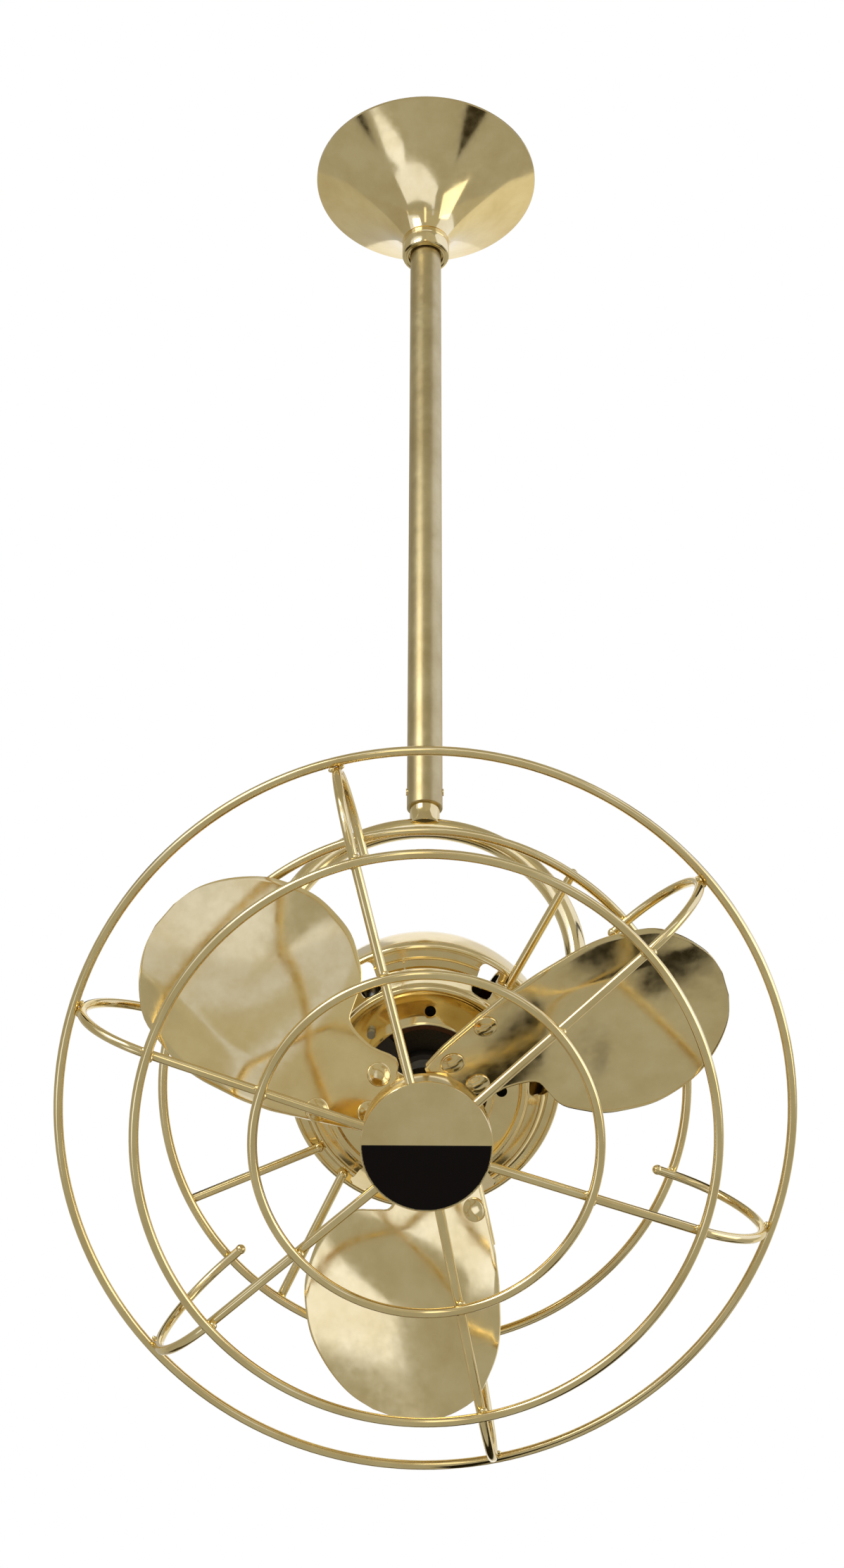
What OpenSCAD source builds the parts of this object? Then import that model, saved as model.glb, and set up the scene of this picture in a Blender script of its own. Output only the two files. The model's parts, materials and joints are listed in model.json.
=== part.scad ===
// Directional ceiling fan: a caged three-blade head that tilts in a fork, and a fork that
// swivels on a rod under a ceiling canopy.
// Millimetres, Z up. The origin is the middle of the ceiling bracket's top face, and the
// head faces -Y. The head's own frame has its origin on the tilt axis and +Z to the front.

/* [Ceiling mount] */
// Diameter of the canopy at the ceiling
canopy_d = 140; // [120:5:170]
// Height of the canopy's bell
canopy_h = 55; // [50:1:70]
// Thickness of the canopy's spun brass
canopy_wall = 1.2; // [0.8:0.1:2]
// How strongly the canopy's bell flares
canopy_flare = 1.55; // [1.4:0.05:1.7]
// Height of the collar under the canopy
collar_h = 13; // [9:1:18]
// Diameter of the collar
collar_d = 29.4; // [27:0.2:32]
// Length of the ceiling bracket's plate
bracket_l = 92; // [84:2:100]
// Width of the ceiling bracket's plate
bracket_w = 26; // [22:1:30]
// Thickness of the bracket's steel
bracket_t = 2.5; // [2:0.5:3]
// Distance between the bracket's two slots
slot_spacing = 69.85; // [66:0.05:74]
// Width of a slot
slot_w = 5; // [4.5:0.5:6]
// Length of a slot from end to end
slot_l = 12; // [8:1:14]
// Depth of the hanger bolt's axis below the ceiling
hanger_drop = 24; // [20:1:26]
// Diameter of the hanger bolt
hanger_bolt_d = 6; // [5:1:8]

/* [Rod] */
// Outer diameter of the rod
rod_d = 19.2; // [18.6:0.1:20.4]
// Wall of the rod
rod_wall = 1.55; // [1.2:0.05:1.8]
// Depth of the rod's bottom edge below the ceiling
rod_bottom = 471.5; // [300:0.5:900]
// Length of the stem inside the rod
stem_grip = 42; // [30:1:60]
// Height of the stem screws above the rod's bottom edge
stem_screw_up = 10.5; // [8:0.5:16]

/* [Fork] */
// Diameter of the fork's tube
fork_tube_d = 11; // [9:0.5:12]
// Wall of the fork's tube
fork_wall = 1.5; // [1:0.1:2]
// Gap between the motor housing and the fork's tube
fork_gap = 5.8; // [4.5:0.1:16]
// Gap between the rod's bottom edge and the top of the fork's arch
stem_show = 6.5; // [4:0.5:12]
// Length of the fork's straight legs
fork_leg = 57.2; // [50:0.1:80]
// Diameter of the eye at the end of each leg
eye_d = 20; // [18:1:24]
// Length of the eye along the tilt axis
eye_l = 12; // [11:0.5:14]
// Diameter of the two tilt bolts
tilt_bolt_d = 8; // [6:1:8]
// Gap round each shaft or bolt that turns in a bore
running_gap = 0.05; // [0.03:0.01:0.08]

/* [Head] */
// Angle of the head's axis below the horizontal
pitch = 38.9; // [0:0.1:90]
// Radius of the motor housing
housing_r = 67; // [60:0.5:74]
// Distance from the housing's drum in to the edge of its front cover
cover_in = 18; // [16:0.5:19]
// Distance from the cover's edge in to the circle that the through bolts lie on
bolts_in = 12; // [11.4:0.1:12.4]
// Distance from the circle of the bolts in to the edge of the cover's opening
opening_in = 6.7; // [6:0.1:8]
// Sheet thickness of the housing
housing_wall = 1.6; // [1.2:0.1:2]
// Number of vent slots round the housing
vent_count = 6; // [3:1:6]
// Width of a vent slot
vent_w = 10.4; // [8:0.2:12]
// Diameter of the motor shaft
shaft_d = 10; // [8:0.5:11]

/* [Blades] */
// Distance from the blade tips out to the middle of the outer ring's wire
tip_clearance = 18.4; // [16:0.2:28]
// Thickness of the blade sheet
blade_t = 1.5; // [1.2:0.1:2]
// Pitch angle of the flat root of a blade
root_angle = 27.7; // [22:0.1:35]
// Pitch angle of a blade at its tip
tip_angle = 20.3; // [15:0.1:30]
// Depth of the hollow pressed into the wide part of a blade
blade_cup = 3; // [0:0.5:8]

/* [Cage] */
// Diameter of the cage wire
wire_d = 4.4; // [3.6:0.1:5]
// Radius of the outer ring
outer_ring_r = 168.4; // [164:0.1:180]
// Distance from the outer ring in to the middle front ring
mid_ring_in = 39.8; // [36:0.1:54]
// Distance from the outer ring in to the inner front ring
inner_ring_in = 92.1; // [78:0.1:108]
// Radius of the medallion
medallion_r = 29.2; // [26:0.1:34]
// Depth of the medallion's cup
medallion_depth = 16; // [12:0.5:18]
// Number of hoops round the cage
hoop_count = 6; // [5:1:8]
// Direction of the first hoop as seen from the front
hoop_start = 41.5; // [0:0.5:59]
// How far the second hoop was set out of its even place round the cage
second_hoop_lean = 3; // [-3:0.5:4]
// How far the third hoop was set out of its even place
third_hoop_lean = 1.2; // [-3:0.1:4]

/* [Hidden] */
$fn = 64;
eps = 0.01;

brass = "#c9b67c";
brass_light = "#dccd98";
brass_dark = "#a08a4e";
enamel_black = "#120e0a";
steel = "#9aa0a6";
black_iron = "#1c1c1e";
copper = "#8a4a22";

// Rod, stem and fork heights, measured down from the ceiling
rod_r = rod_d / 2;
rod_bore_r = rod_r - rod_wall;
rod_top = hanger_drop - 14;
stem_r = rod_bore_r - running_gap;
stem_bore_r = 5;
fork_tube_r = fork_tube_d / 2;
fork_r = housing_r + fork_gap + fork_tube_r;
arch_top = rod_bottom + stem_show;
arch_z = -(arch_top + fork_tube_r + fork_r);
pivot_z = arch_z - fork_leg;
stem_screw_z = -(rod_bottom - stem_screw_up);
stem_screw_d = 4;
groove_h = 5;
groove_depth = 1.2;

// Places along the tilt axis, from the middle out
eye_in = fork_r - eye_l / 2;
eye_out = fork_r + eye_l / 2;
friction_t = 1.7;
boss_out = eye_in - friction_t;
spring_t = 1.6;
tilt_head_in = eye_out + spring_t;
tilt_head_t = 6;
tilt_head_d = 15;
tilt_thread_in = housing_r - 10;

// Radii that follow the outer ring
blade_tip_r = outer_ring_r - tip_clearance;
mid_ring_r = outer_ring_r - mid_ring_in;
inner_ring_r = outer_ring_r - inner_ring_in;

// Places along the head's axis, counted forwards from the tilt axis
back_ring_s = 53.2;
hoop_half = 39.5;
wire_r = wire_d / 2;
weld_r = wire_r + 0.25;
hoop_back_s = back_ring_s + wire_d;
hoop_mid_s = hoop_back_s + hoop_half;
outer_ring_s = hoop_mid_s;
hoop_front_s = hoop_mid_s + hoop_half;
spoke_fall = 4.8;
hoop_out_r = outer_ring_r - wire_d;
hoop_mid_r = hoop_out_r - hoop_half;
back_ring_r = hoop_mid_r + 0.8;
hoop_over = 7;
medallion_front_s = 147.8;
medallion_back_s = medallion_front_s - medallion_depth;
face_t = 1.6;
enamel_t = 0.6;
split_y = 0.9;

// Radii inside the motor, each set in from the one outside it
cover_r = housing_r - cover_in;
through_bolt_r = cover_r - bolts_in;
cover_hole_r = through_bolt_r - opening_in;
core_r = through_bolt_r + 5;
coil_out_r = through_bolt_r - 4.6;
coil_in_r = coil_out_r - 5.9;
core_bore_r = coil_in_r - 1.5;
rotor_r = core_bore_r - 0.4;

// Motor along the head's axis
drum_front_s = 30.8;
rear_face_s = -30;
cover_s = 47.2;
core_back_s = 8;
core_front_s = 32;
coil_over = 8;
slot_teeth = 12;
bearing_r = 13;
bearing_w = 8;
bridge_t = 4;
bridge_s = cover_s - housing_wall - bridge_t;
through_bolt_d = 4;
through_bolt_start = 134.4;
through_bolt_angles = [for (k = [0:2]) through_bolt_start - 120 * k];
eyelet_angles = [86.4, -3.6, 176.4];
vent_start = -0.5;
vent_in_r = cover_r + 1.4;
vent_l = 13.6;
rear_vent_w = 22;

// Blade hub and blades
hub_r = 16;
hub_back_s = 66;
hub_front_s = 92;
blade_s = 79.5;
blade_first = 18.6;
flat_r = 58;
arm_t = 3;
arm_plan = [[8, -6], [30, -2], [36, 8], [48, 34], [53, 48.5], [38, 40.9], [23, 32.9], [16, 28.9],
    [6.5, 22.2]];
rivet_d = 5;
rivet_head_d = 11;
rivet_places = [[26.5, 4], [19, 21], [39, 36]];

// Outline of a blade's sheet: distance out, then its two edges across the blade
plan_tip_r = 150;
blade_plan = [[6, 19, 22], [16, 9, 29], [23, -7, 33], [38, -4, 41], [52, -6, 48.5],
    [56, -14, 50.5], [60, -25, 52], [68, -32.5, 55], [78, -39, 57.5], [90, -41.5, 60],
    [102, -41.5, 60.5], [114, -38, 58.5], [126, -32, 55], [136, -23, 47], [143, -14, 38],
    [147.5, -5, 29], [150, 6, 19]];
chord_steps = 8;
cup_mid = -10;
cup_half = 50;

// Distance out of a row of the outline, stretched with the tip radius beyond the flat root
function row_r(i) = let (r = blade_plan[i][0])
    r <= flat_r ? r : flat_r + (r - flat_r) * (blade_tip_r - flat_r) / (plan_tip_r - flat_r);
function ease(u) = let (t = max(0, min(1, u))) t * t * (3 - 2 * t);
function sheet_angle(r) =
    root_angle + (tip_angle - root_angle) * ease((r - flat_r) / (blade_tip_r - flat_r));
function dip_at(r, c) = let (w = max(-1, min(1, (c - cup_mid) / cup_half)))
    -blade_cup * ease((r - flat_r) / 40) * (1 - w * w);

// A point of the sheet's back or front face
function blade_point(i, v, off) =
    let (r = row_r(i), lead = blade_plan[i][1], trail = blade_plan[i][2],
        c = lead + (trail - lead) * v, a = sheet_angle(r), h = dip_at(r, c) + off)
    [r, c * cos(a) - h * sin(a), blade_s + c * sin(a) + h * cos(a)];

// Puts its children in the head's frame
module head() {
    translate([0, 0, pivot_z]) rotate([90 + pitch, 0, 0]) children();
}

// Both places on the tilt axis, with the children's +Z pointing out
module both_sides() {
    for (side = [-1, 1]) translate([0, 0, pivot_z]) rotate([0, side * 90, 0]) children();
}

// A straight round bar between two points
module bar(a, b, r) {
    d = b - a;
    l = norm(d);
    translate(a) rotate([0, acos(d[2] / l), atan2(d[1], d[0])]) cylinder(r = r, h = l);
}

// A closed ring of cage wire
module wire_ring(ring_r, s) {
    translate([0, 0, s]) rotate_extrude($fn = 96) translate([ring_r, 0]) circle(wire_r, $fn = 24);
}

// A block with rounded upright corners, standing round the origin
module soft_slot(l, w, corner, h) {
    translate([-l / 2 + corner, -w / 2, 0]) cube([l - 2 * corner, w, h]);
    translate([-l / 2, -w / 2 + corner, 0]) cube([l, w - 2 * corner, h]);
    for (x = [-1, 1], y = [-1, 1]) translate([x * (l / 2 - corner), y * (w / 2 - corner), 0])
        cylinder(r = corner, h = h, $fn = 24);
}

module slot(l, w, h) {
    hull_l = l - w;
    translate([0, 0, -eps]) {
        translate([-hull_l / 2, -w / 2, 0]) cube([hull_l, w, h + 2 * eps]);
        for (x = [-hull_l / 2, hull_l / 2]) translate([x, 0, 0]) cylinder(d = w, h = h + 2 * eps);
    }
}

// Steel bracket: a plate under the ceiling with two legs that carry the hanger bolt
bush_t = 2.2;
leg_in = rod_r + bush_t;
leg_w = 20;
leg_l = hanger_drop + 9;

module ceiling_bracket() {
    color(steel) difference() {
        union() {
            translate([-bracket_l / 2, -bracket_w / 2, -bracket_t])
                cube([bracket_l, bracket_w, bracket_t]);
            for (side = [-1, 1]) translate([side * (leg_in + bracket_t / 2), 0, 0])
                translate([-bracket_t / 2, -leg_w / 2, -leg_l])
                    cube([bracket_t, leg_w, leg_l - bracket_t / 2]);
        }
        for (side = [-1, 1]) translate([side * slot_spacing / 2, 0, -bracket_t])
            slot(slot_l, slot_w, bracket_t);
        translate([-bracket_l, 0, -hanger_drop]) rotate([0, 90, 0])
            cylinder(d = hanger_bolt_d + 2 * running_gap, h = 2 * bracket_l);
        translate([0, 0, -bracket_t - eps]) cylinder(r = rod_bore_r, h = bracket_t + 2 * eps);
    }
}

hanger_head_t = 4;
hanger_nut_t = 5;
leg_out = leg_in + bracket_t;

module hanger_bolt() {
    color(steel) translate([0, 0, -hanger_drop]) rotate([0, 90, 0]) union() {
        translate([0, 0, -leg_out - hanger_head_t])
            cylinder(d = hanger_bolt_d * 1.9, h = hanger_head_t, $fn = 6);
        translate([0, 0, -leg_out - eps])
            cylinder(d = hanger_bolt_d, h = 2 * leg_out + hanger_nut_t + 2);
    }
}

module hanger_nut() {
    color(steel) translate([leg_out, 0, -hanger_drop]) rotate([0, 90, 0]) difference() {
        cylinder(d = hanger_bolt_d * 1.9, h = hanger_nut_t, $fn = 6);
        translate([0, 0, -1]) cylinder(d = hanger_bolt_d + 2 * running_gap, h = hanger_nut_t + 2);
    }
}

// Rubber saddles between the rod and the bracket's legs
module hanger_bushes() {
    color(black_iron) for (side = [-1, 1]) difference() {
        translate([0, 0, -hanger_drop]) rotate([0, side * 90, 0]) translate([0, 0, rod_r - 1.6])
            cylinder(d = 13, h = bush_t + 1.6);
        translate([0, 0, -hanger_drop - 20]) cylinder(r = rod_r, h = 40);
        translate([0, 0, -hanger_drop]) rotate([0, side * 90, 0])
            cylinder(d = hanger_bolt_d + 2 * running_gap, h = leg_out);
    }
}

// Three-way terminal block under the bracket's plate
terminal_w = 13;
terminal_l = 24;
terminal_h = 11;

module terminal_block() {
    color("#e8e4d8") translate([leg_out + 1, -terminal_l / 2, -bracket_t - terminal_h])
        difference() {
            cube([terminal_w, terminal_l, terminal_h]);
            for (k = [0:2]) translate([terminal_w / 2, terminal_l * (k + 0.5) / 3, -1])
                cylinder(d = 4, h = 4);
        }
}

// Leads that run down inside the rod to the swivel
lead_r = 1;

module supply_leads() {
    color("#f2efe6") for (k = [-1:1])
        translate([k * 2.4, rod_bore_r - 2.2 * lead_r, -(rod_bottom - stem_grip) + 4])
            cylinder(r = lead_r, h = rod_bottom - stem_grip - 4 - bracket_t, $fn = 16);
}

// Spun brass canopy: a flared bell from the ceiling to its neck
canopy_r = canopy_d / 2;
collar_r = collar_d / 2;
rim_h = 2.5;

function bell_r(z) = collar_r + (canopy_r - collar_r)
    * pow(1 - (z - rim_h) / (canopy_h - rim_h), canopy_flare);

module canopy() {
    steps = 14;
    outer = [for (k = [0:steps]) let (z = rim_h + (canopy_h - rim_h) * k / steps)
        [bell_r(z), -z]];
    inner = [for (k = [steps:-1:0]) let (z = rim_h + (canopy_h - rim_h - canopy_wall) * k / steps)
        [max(bell_r(z) - canopy_wall * 1.5, rod_r + 0.4), -z]];
    color(brass) rotate_extrude($fn = 96) polygon(concat([[canopy_r - 0.6, 0], [canopy_r, -0.6]],
        outer, [[rod_r + 0.2, -canopy_h], [rod_r + 0.2, -canopy_h + canopy_wall]], inner,
        [[canopy_r - canopy_wall, 0]]));
}

// Brass collar that holds the canopy up against the ceiling
collar_recess_r = rod_r + 1.1;

module canopy_collar() {
    color(brass_light) difference() {
        translate([0, 0, -canopy_h - collar_h]) cylinder(r = collar_r, h = collar_h);
        translate([0, 0, -canopy_h - collar_h - 1]) cylinder(r = rod_r + 0.1, h = collar_h + 2);
        translate([0, 0, -canopy_h - collar_h - 1]) cylinder(r = collar_recess_r, h = 5);
        translate([0, 0, -canopy_h - collar_h / 3]) rotate([-90, 0, 0]) cylinder(d = 4, h = 30);
    }
}

module collar_screw() {
    color(brass_dark) translate([0, rod_r + 0.1, -canopy_h - collar_h / 3]) rotate([-90, 0, 0])
        cylinder(d = 4, h = collar_r - rod_r);
}

module downrod() {
    color(brass) difference() {
        translate([0, 0, -rod_bottom]) cylinder(r = rod_r, h = rod_bottom - rod_top);
        translate([0, 0, -rod_bottom - 1]) cylinder(r = rod_bore_r, h = rod_bottom);
        translate([-rod_d, 0, -hanger_drop]) rotate([0, 90, 0])
            cylinder(d = hanger_bolt_d + 2 * running_gap, h = 2 * rod_d);
        translate([-rod_d, 0, stem_screw_z]) rotate([0, 90, 0])
            cylinder(d = stem_screw_d, h = 2 * rod_d);
    }
}

// Two grub screws whose tips run in the stem's groove
module stem_screws() {
    color(brass_dark) for (side = [-1, 1]) translate([0, 0, stem_screw_z])
        rotate([0, side * 90, 0]) translate([0, 0, stem_r - groove_depth + 0.2])
            cylinder(d = stem_screw_d, h = rod_wall + groove_depth + running_gap + 0.3);
}

// Fork: a hollow stem and a bent tube with an eye welded to each end
module fork() {
    stem_top = -(rod_bottom - stem_grip);
    color(brass_light) difference() {
        union() {
            translate([0, 0, -arch_top - fork_tube_r])
                cylinder(r = stem_r, h = arch_top + fork_tube_r + stem_top);
            translate([0, 0, arch_z]) rotate([90, 0, 0]) rotate_extrude(angle = 180)
                translate([fork_r, 0]) circle(fork_tube_r, $fn = 48);
            for (side = [-1, 1]) {
                translate([side * fork_r, 0, pivot_z + eye_d / 4])
                    cylinder(r = fork_tube_r, h = fork_leg - eye_d / 4);
                translate([side * fork_r, 0, pivot_z]) rotate([0, 90, 0])
                    translate([0, 0, -eye_l / 2]) cylinder(d = eye_d, h = eye_l);
            }
        }
        translate([0, 0, -arch_top - fork_tube_r])
            cylinder(r = stem_bore_r, h = arch_top + fork_tube_r + stem_top + 1);
        translate([0, 0, arch_z]) rotate([90, 0, 0]) rotate_extrude(angle = 180)
            translate([fork_r, 0]) circle(fork_tube_r - fork_wall, $fn = 48);
        for (side = [-1, 1]) {
            translate([side * fork_r, 0, pivot_z + eye_d / 2])
                cylinder(r = fork_tube_r - fork_wall, h = fork_leg - eye_d / 2);
            translate([side * fork_r, 0, pivot_z]) rotate([0, 90, 0])
                translate([0, 0, -eye_l]) cylinder(d = tilt_bolt_d + 2 * running_gap, h = 2 * eye_l);
        }
        translate([0, 0, stem_screw_z - groove_h / 2]) difference() {
            cylinder(r = stem_r + 1, h = groove_h);
            translate([0, 0, -1]) cylinder(r = stem_r - groove_depth, h = groove_h + 2);
        }
    }
}

module ring_washer(s, h, out_d, in_d) {
    translate([0, 0, s]) difference() {
        cylinder(d = out_d, h = h);
        translate([0, 0, -1]) cylinder(d = in_d, h = h + 2);
    }
}

module spring_washers() {
    color(steel) both_sides() ring_washer(eye_out, spring_t, tilt_bolt_d + 6, tilt_bolt_d + 2 * running_gap);
}

module friction_washers() {
    color("#6b5a3a") both_sides()
        ring_washer(boss_out, friction_t, eye_d, tilt_bolt_d + 2 * running_gap);
}

module tilt_bolts() {
    color(brass_dark) both_sides() difference() {
        union() {
            translate([0, 0, tilt_thread_in])
                cylinder(d = tilt_bolt_d, h = tilt_head_in - tilt_thread_in + eps);
            translate([0, 0, tilt_head_in]) cylinder(d = tilt_head_d, h = tilt_head_t - 1.5);
            translate([0, 0, tilt_head_in + tilt_head_t - 1.5])
                cylinder(d1 = tilt_head_d, d2 = tilt_head_d - 3, h = 1.5);
        }
        translate([0, 0, tilt_head_in + tilt_head_t - 3]) cylinder(d = 6, h = 4, $fn = 6);
    }
}

// Places the children round the head's axis at a radius
module round_head(angles, r) {
    for (a = angles) rotate([0, 0, a]) translate([r, 0, 0]) children();
}

vent_angles = [for (k = [0:vent_count - 1]) vent_start + 360 / vent_count * k];
boss_r = 10;

// Boss for a tilt bolt, in the head's frame, cut to the inside of the housing
module tilt_bosses(grow) {
    for (side = [-1, 1]) rotate([0, side * 90, 0])
        translate([0, 0, tilt_thread_in]) cylinder(r = boss_r + grow, h = boss_out - tilt_thread_in);
}

// Rear half of the motor housing, a pressed bell with vents
rear_seam_s = -12;

module rear_housing() {
    t = housing_wall;
    r = housing_r;
    color(brass) head() difference() {
        rotate_extrude($fn = 96) difference() {
            polygon([[0, rear_face_s], [r - 22, rear_face_s], [r - 14, rear_face_s + 3],
                [r - 7, rear_face_s + 9.5], [r - 3.8, rear_face_s + 15.5], [r - 3, rear_seam_s],
                [0, rear_seam_s]]);
            polygon([[bearing_r + 3, rear_face_s + t], [r - 22.6, rear_face_s + t],
                [r - 15, rear_face_s + 3 + t], [r - 8.4, rear_face_s + 10.4],
                [r - 3.8 - t, rear_face_s + 16], [r - 3 - t, rear_seam_s],
                [r - 3 - t, rear_seam_s + 1], [bearing_r + 3, rear_seam_s + 1]]);
            polygon([[0, rear_face_s + bearing_w + 2], [bearing_r + 4, rear_face_s + bearing_w + 2],
                [bearing_r + 4, rear_seam_s + 1], [0, rear_seam_s + 1]]);
        }
        translate([0, 0, rear_face_s + 2]) cylinder(r = bearing_r, h = bearing_w + 2);
        round_head(vent_angles, through_bolt_r + 4.5) translate([0, -rear_vent_w / 2, rear_face_s - 5])
            cube([r, rear_vent_w, 16]);
        round_head(through_bolt_angles, through_bolt_r) translate([0, 0, rear_face_s - 1])
            cylinder(d = through_bolt_d, h = 10);
    }
}

// Front half of the housing: a drum, its flat rim, a raised band, the shoulder and the cover
band_r = housing_r - 6.6;
band_front_s = drum_front_s + 9;

module front_housing() {
    t = housing_wall;
    r = housing_r;
    c = cover_r;
    color(brass_light) head() difference() {
        union() {
            rotate_extrude($fn = 96) difference() {
                polygon([[0, rear_seam_s], [r - 3, rear_seam_s], [r - 1.5, rear_seam_s + 6],
                    [r - 0.5, rear_seam_s + 12], [r, rear_seam_s + 18], [r, drum_front_s - 3.6],
                    [r - 0.7, drum_front_s - 1.4], [r - 2.4, drum_front_s - 0.4],
                    [r - 6, drum_front_s], [band_r, drum_front_s + 0.4], [band_r, drum_front_s + 1.6],
                    [band_r - 2.8, band_front_s - 0.8], [band_r - 3.6, band_front_s],
                    [band_r - 4.6, band_front_s + 0.2], [c + 2.2, cover_s - 3.6],
                    [c + 1, cover_s - 2.9], [c + 0.6, cover_s - 2], [c, cover_s - 0.8],
                    [c - 1, cover_s], [c - 2.4, cover_s], [c - 3.6, cover_s - 0.6],
                    [cover_hole_r + 1.5, cover_s - 0.6], [cover_hole_r + 0.6, cover_s], [0, cover_s]]);
                polygon([[0, rear_seam_s - 1], [r - 3 - t, rear_seam_s - 1], [r - 3 - t, rear_seam_s],
                    [r - 1.5 - t, rear_seam_s + 6], [r - 0.5 - t, rear_seam_s + 12],
                    [r - t, rear_seam_s + 18], [r - t, drum_front_s - 3.6],
                    [r - 3, drum_front_s - 0.6 - t], [band_r - t, drum_front_s - t],
                    [band_r - t, drum_front_s + 1.2], [band_r - 4.2, band_front_s - 1.6],
                    [band_r - 5.2, band_front_s - t + 0.2], [c + 1.2, cover_s - 3.6 - t],
                    [c - 0.6, cover_s - 3], [c - 1.4, cover_s - t], [c - 4.2, cover_s - t - 0.6],
                    [0, cover_s - t - 0.6]]);
            }
            intersection() {
                tilt_bosses(0);
                translate([0, 0, -boss_r - 1]) cylinder(r = boss_out, h = 2 * boss_r + 2);
            }
            round_head(eyelet_angles, through_bolt_r) translate([0, 0, cover_s - 2])
                cylinder(d = 8.5, h = 3.4);
        }
        translate([0, 0, cover_s - 5]) cylinder(r = cover_hole_r, h = 10);
        for (side = [-1, 1]) rotate([0, side * 90, 0]) translate([0, 0, tilt_thread_in - 1])
            cylinder(d = tilt_bolt_d, h = boss_out);
        round_head(vent_angles, vent_in_r + vent_l / 2) translate([0, 0, drum_front_s - 6])
            soft_slot(vent_l, vent_w, 2.6, 30);
        round_head(through_bolt_angles, through_bolt_r) translate([0, 0, cover_s - 6])
            cylinder(d = through_bolt_d, h = 10);
        round_head(eyelet_angles, through_bolt_r) translate([0, 0, cover_s - 6])
            cylinder(d = 5.4, h = 10);
    }
}

nut_t = 3;

module through_bolts() {
    color(steel) head() round_head(through_bolt_angles, through_bolt_r) {
        translate([0, 0, rear_face_s - 2.6]) cylinder(d = 7.4, h = 2.6);
        translate([0, 0, rear_face_s - eps])
            cylinder(d = through_bolt_d, h = cover_s - rear_face_s + nut_t + 2);
    }
}

module through_bolt_nuts() {
    color(brass_light) head() round_head(through_bolt_angles, through_bolt_r)
        translate([0, 0, cover_s - 0.6]) difference() {
            union() {
                cylinder(d = 9.6, h = 0.9);
                translate([0, 0, 0.9]) cylinder(d = 7.4, h = nut_t, $fn = 6);
            }
            translate([0, 0, -1]) cylinder(d = through_bolt_d, h = nut_t + 4);
        }
}

// Sleeves on the through bolts that hold the stator between the two shells
module motor_spacers() {
    color(steel) head() round_head(through_bolt_angles, through_bolt_r) {
        ring_washer(rear_face_s + housing_wall, core_back_s - rear_face_s - housing_wall, 7.4,
            through_bolt_d);
        ring_washer(core_front_s, bridge_s - core_front_s, 7.4, through_bolt_d);
    }
}

// Three-armed bridge that carries the front bearing behind the cover's opening
module bearing_bridge() {
    color(black_iron) head() translate([0, 0, bridge_s]) difference() {
        union() {
            translate([0, 0, bridge_t - bearing_w - 1]) cylinder(r = bearing_r + 2.5, h = bearing_w + 1);
            round_head(through_bolt_angles, 0) translate([bearing_r, -4, 0])
                cube([through_bolt_r - bearing_r, 8, bridge_t - 0.6]);
            round_head(through_bolt_angles, through_bolt_r) cylinder(d = 8, h = bridge_t - 0.6);
        }
        translate([0, 0, bridge_t - bearing_w - 2]) cylinder(r = bearing_r, h = bearing_w + 3);
        round_head(through_bolt_angles, through_bolt_r) translate([0, 0, -1])
            cylinder(d = through_bolt_d, h = bridge_t + 2);
    }
}

// Laminated stator core with its slots
module stator_core() {
    color("#3a3a3c") head() translate([0, 0, core_back_s]) difference() {
        cylinder(r = core_r, h = core_front_s - core_back_s);
        translate([0, 0, -1]) cylinder(r = core_bore_r, h = core_front_s - core_back_s + 2);
        for (k = [0:slot_teeth - 1]) rotate([0, 0, 360 / slot_teeth * k])
            translate([core_bore_r - 2, -2, -1])
                cube([coil_out_r - core_bore_r + 2, 4, core_front_s - core_back_s + 2]);
        round_head(through_bolt_angles, through_bolt_r) translate([0, 0, -1])
            cylinder(d = through_bolt_d, h = core_front_s - core_back_s + 2);
    }
}

// End turns and slot sides of the windings
module stator_windings() {
    color(copper) head() {
        for (s = [core_back_s - coil_over, core_front_s])
            ring_washer(s, coil_over, 2 * coil_out_r, 2 * coil_in_r);
        for (k = [0:slot_teeth - 1]) rotate([0, 0, 360 / slot_teeth * k])
            translate([coil_in_r, -1.9, core_back_s - eps])
                cube([coil_out_r - coil_in_r - 0.2, 3.8, core_front_s - core_back_s + 2 * eps]);
    }
}

module bearing(s) {
    ring_washer(s, bearing_w, 2 * bearing_r - 0.02, shaft_d + 2 * running_gap);
}

module front_bearing() {
    color(steel) head() bearing(bridge_s + bridge_t - bearing_w);
}

module rear_bearing() {
    color(steel) head() bearing(rear_face_s + 2);
}

// Run capacitor lying in the rear shell
cap_l = 28;
cap_w = 12;
cap_h = 10;

module run_capacitor() {
    color("#2a2c30") head() rotate([0, 0, through_bolt_start + 60])
        translate([bearing_r + 5, -cap_l / 2, rear_face_s + housing_wall])
            cube([cap_w, cap_l, cap_h]);
}

// Motor shaft, with its shoulder and the threaded end that the hub nut takes
shaft_back_s = rear_face_s + 3;
hub_thread_d = 8;
hub_nut_t = 7;

module motor_shaft() {
    color(steel) head() {
        translate([0, 0, shaft_back_s]) cylinder(d = shaft_d, h = hub_front_s - shaft_back_s - 6);
        translate([0, 0, hub_front_s - 6 - eps]) cylinder(d = hub_thread_d, h = 6 + hub_nut_t - 2);
    }
}

module rotor_core() {
    color("#5a5c60") head() translate([0, 0, core_back_s]) difference() {
        cylinder(r = rotor_r, h = core_front_s - core_back_s);
        translate([0, 0, -1]) cylinder(d = shaft_d, h = core_front_s - core_back_s + 2);
    }
}

// Hub with three pitched arms that the blades are riveted to
module blade_arm() {
    translate([0, 0, blade_s]) rotate([root_angle, 0, 0])
        translate([0, 0, -arm_t - 0.05]) linear_extrude(arm_t) polygon(arm_plan);
}

module at_blade(k) {
    head() rotate([0, 0, blade_first + 120 * k]) children();
}

module rivet_frame(place) {
    translate([0, 0, blade_s]) rotate([root_angle, 0, 0]) translate([place[0], place[1], 0])
        children();
}

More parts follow.
